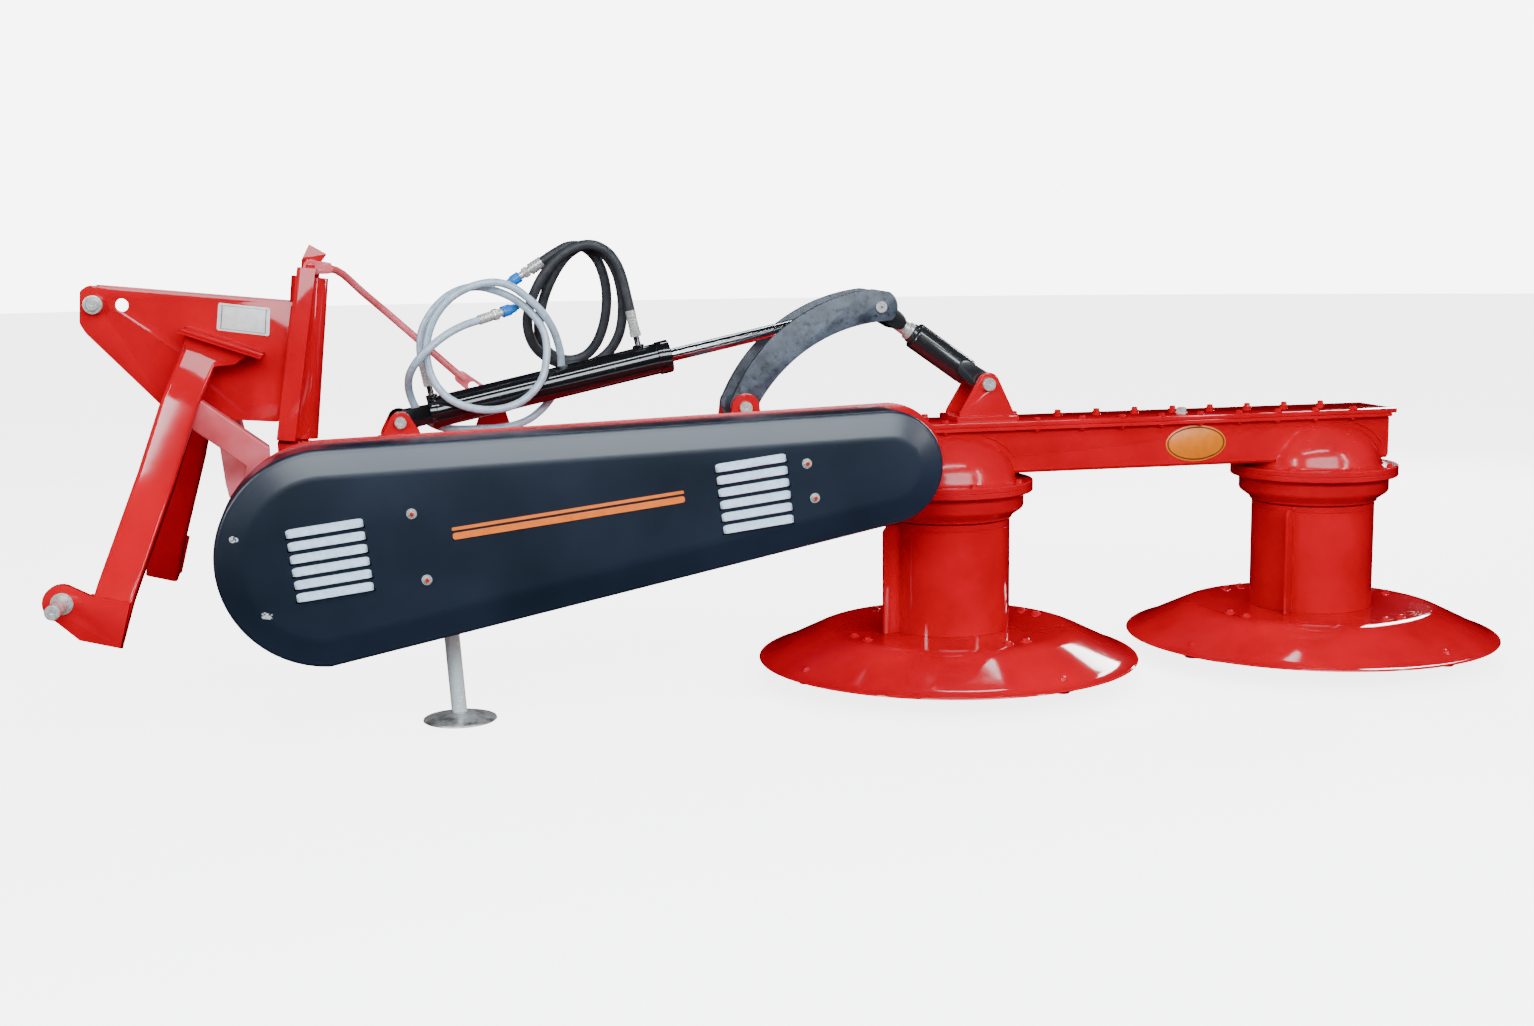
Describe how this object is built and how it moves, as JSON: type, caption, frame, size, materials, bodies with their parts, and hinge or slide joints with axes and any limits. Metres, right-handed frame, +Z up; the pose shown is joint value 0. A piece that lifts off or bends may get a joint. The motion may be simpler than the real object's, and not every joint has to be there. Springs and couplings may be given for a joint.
{
  "type": "rotary drum mower",
  "caption": "Tractor-mounted rotary drum mower with a hitch frame, belt-driven drums, guard, folding cylinder and free hydraulic hoses, parked on its skids and stand.",
  "frame": {"origin": "on the ground under the inner drum, at the centre of its skid dish", "axes": "+X from the headstock towards the outer drum, +Z up, -Y towards the belt guard"},
  "size_m": [3.2885, 1.0619, 1.0195],
  "materials": {
    "red_paint": "gloss",
    "black_paint": "satin",
    "dark_enamel": "satin",
    "steel": "machined",
    "zinc": "zinc plated",
    "chrome": "polished",
    "belt_rubber": "matte",
    "grey_hose": "satin",
    "black_hose": "matte",
    "blue_cap": "moulded"
  },
  "bodies": {
    "headstock": {"mast_plate_near": "red_paint", "mast_plate_far": "red_paint", "swing_post": "red_paint", "leg_near": "red_paint", "leg_far": "red_paint", "top_link_pin": "zinc", "lower_pin_near": "zinc", "lower_pin_far": "zinc", "lower_frame": "red_paint"},
    "swing_knuckle": {"swing_knuckle": "red_paint"},
    "tie_rod": {"tie_rod": "red_paint"},
    "arm": {"main_arm": "red_paint", "tilt_pin": "zinc", "cylinder_ears": "red_paint", "cylinder_pin": "zinc", "rocker_ears": "red_paint", "rocker_pin": "zinc", "guard_back_plate": "red_paint", "guard_cover": "black_paint", "input_housing": "red_paint", "v_belts": "belt_rubber"},
    "stand": {"stand_leg": "zinc"},
    "input_drive": {"input_shaft": "steel", "big_pulley": "dark_enamel"},
    "barrel": {"cylinder_barrel": "dark_enamel", "base_port_fitting": "zinc", "rod_port_fitting": "zinc", "grey_hose": "grey_hose", "black_hose": "black_hose", "grey_coupler": "zinc", "black_coupler": "zinc", "grey_cap": "blue_cap", "black_cap": "blue_cap"},
    "piston": {"piston_rod": "chrome"},
    "rocker": {"rocker": "dark_enamel"},
    "beam": {"beam_trough": "red_paint", "beam_cover": "red_paint", "gear_housing_inner": "red_paint", "gear_housing_outer": "red_paint", "link_ears": "red_paint", "link_pin": "zinc"},
    "link": {"lift_link": "dark_enamel"},
    "jack_drive": {"jack_shaft": "steel"},
    "cross_drive": {"cross_shaft": "steel"},
    "inner_drum": {"inner_drum_shell": "red_paint", "inner_drum_skirt": "red_paint", "inner_drum_shaft": "steel"},
    "inner_skid": {"inner_skid_dish": "red_paint"},
    "inner_blade_1": {"inner_blade_1": "steel"},
    "inner_blade_2": {"inner_blade_2": "steel"},
    "inner_blade_3": {"inner_blade_3": "steel"},
    "inner_blade_4": {"inner_blade_4": "steel"},
    "outer_drum": {"outer_drum_shell": "red_paint", "outer_drum_skirt": "red_paint", "outer_drum_shaft": "steel"},
    "outer_skid": {"outer_skid_dish": "red_paint"},
    "outer_blade_1": {"outer_blade_1": "steel"},
    "outer_blade_2": {"outer_blade_2": "steel"},
    "outer_blade_3": {"outer_blade_3": "steel"},
    "outer_blade_4": {"outer_blade_4": "steel"}
  },
  "joints": [
    {"name": "arm_swing", "type": "hinge", "parent": "headstock", "child": "swing_knuckle", "pos_m": [-1.45267, 0, 0.55], "axis": [0.1081, 0, 0.9941], "range_deg": [-3, 87]},
    {"name": "arm_tilt", "type": "hinge", "parent": "swing_knuckle", "child": "arm", "pos_m": [-1.45267, 0, 0.55], "axis": [0, -1, 0], "range_deg": [0, 8]},
    {"name": "tie_rod_turn", "type": "hinge", "parent": "swing_knuckle", "child": "tie_rod", "pos_m": [-1.4068, 0, 0.972], "axis": [0, -1, 0], "range_deg": [0, 4.3]},
    {"name": "stand_slide", "type": "slide", "parent": "arm", "child": "stand", "axis": [-0.061, 0, 0.9981], "range_m": [0, 0.25]},
    {"name": "input_spin", "type": "hinge", "parent": "arm", "child": "input_drive", "pos_m": [-1.3965, 0, 0.4014], "axis": [0, 1, 0], "continuous": true},
    {"name": "beam_lift", "type": "hinge", "parent": "arm", "child": "beam", "pos_m": [-0.238, 0, 0.537], "axis": [0, -1, 0], "range_deg": [-5, 85]},
    {"name": "rocker_turn", "type": "hinge", "parent": "arm", "child": "rocker", "pos_m": [-0.489, 0, 0.6504], "axis": [0, -1, 0], "range_deg": [-4.7, 79]},
    {"name": "link_turn", "type": "hinge", "parent": "beam", "child": "link", "pos_m": [0.0816, 0, 0.684], "axis": [0, -1, 0], "range_deg": [-76, 4.5]},
    {"name": "cylinder_turn", "type": "hinge", "parent": "arm", "child": "barrel", "pos_m": [-1.2361, 0, 0.641], "axis": [0, -1, 0], "range_deg": [-1.2, 19.5]},
    {"name": "rod_stroke", "type": "slide", "parent": "barrel", "child": "piston", "axis": [0.9785, 0, 0.2061], "range_m": [-0.39, 0.024]},
    {"name": "jack_spin", "type": "hinge", "parent": "beam", "child": "jack_drive", "pos_m": [-0.238, 0, 0.537], "axis": [0, 1, 0], "continuous": true},
    {"name": "cross_spin", "type": "hinge", "parent": "beam", "child": "cross_drive", "pos_m": [-0.238, 0, 0.537], "axis": [1, 0, 0], "continuous": true},
    {"name": "inner_drum_spin", "type": "hinge", "parent": "beam", "child": "inner_drum", "pos_m": [0, 0, 0.05], "axis": [0, 0, 1], "continuous": true},
    {"name": "inner_skid_spin", "type": "hinge", "parent": "inner_drum", "child": "inner_skid", "pos_m": [0, 0, 0], "axis": [0, 0, 1], "continuous": true},
    {"name": "inner_blade_1_swing", "type": "hinge", "parent": "inner_drum", "child": "inner_blade_1", "pos_m": [-0.37588, -0.13681, 0.0425], "axis": [0, 0, 1], "range_deg": [-200, 0]},
    {"name": "inner_blade_2_swing", "type": "hinge", "parent": "inner_drum", "child": "inner_blade_2", "pos_m": [0.13681, -0.37588, 0.0425], "axis": [0, 0, 1], "range_deg": [-200, 0]},
    {"name": "inner_blade_3_swing", "type": "hinge", "parent": "inner_drum", "child": "inner_blade_3", "pos_m": [0.37588, 0.13681, 0.0425], "axis": [0, 0, 1], "range_deg": [-200, 0]},
    {"name": "inner_blade_4_swing", "type": "hinge", "parent": "inner_drum", "child": "inner_blade_4", "pos_m": [-0.13681, 0.37588, 0.0425], "axis": [0, 0, 1], "range_deg": [-200, 0]},
    {"name": "outer_drum_spin", "type": "hinge", "parent": "beam", "child": "outer_drum", "pos_m": [0.93, 0, 0.05], "axis": [0, 0, 1], "continuous": true},
    {"name": "outer_skid_spin", "type": "hinge", "parent": "outer_drum", "child": "outer_skid", "pos_m": [0.93, 0, 0], "axis": [0, 0, 1], "continuous": true},
    {"name": "outer_blade_1_swing", "type": "hinge", "parent": "outer_drum", "child": "outer_blade_1", "pos_m": [0.55412, -0.13681, 0.0425], "axis": [0, 0, 1], "range_deg": [-200, 0]},
    {"name": "outer_blade_2_swing", "type": "hinge", "parent": "outer_drum", "child": "outer_blade_2", "pos_m": [1.06681, -0.37588, 0.0425], "axis": [0, 0, 1], "range_deg": [-200, 0]},
    {"name": "outer_blade_3_swing", "type": "hinge", "parent": "outer_drum", "child": "outer_blade_3", "pos_m": [1.30588, 0.13681, 0.0425], "axis": [0, 0, 1], "range_deg": [-200, 0]},
    {"name": "outer_blade_4_swing", "type": "hinge", "parent": "outer_drum", "child": "outer_blade_4", "pos_m": [0.79319, 0.37588, 0.0425], "axis": [0, 0, 1], "range_deg": [-200, 0]}
  ],
  "couplings": [
    {"joint": "tie_rod_turn", "follows": "arm_tilt", "ratio": 0.535},
    {"joint": "rocker_turn", "follows": "beam_lift", "ratio": 0.926},
    {"joint": "link_turn", "follows": "beam_lift", "ratio": -0.886},
    {"joint": "cylinder_turn", "follows": "beam_lift", "ratio": 0.228},
    {"joint": "rod_stroke", "follows": "beam_lift", "m_per_rad": -0.261},
    {"joint": "cross_spin", "follows": "inner_drum_spin", "ratio": -0.66667},
    {"joint": "jack_spin", "follows": "inner_drum_spin", "ratio": -0.66667},
    {"joint": "input_spin", "follows": "inner_drum_spin", "ratio": -0.33333},
    {"joint": "outer_drum_spin", "follows": "inner_drum_spin", "ratio": -1}
  ]
}
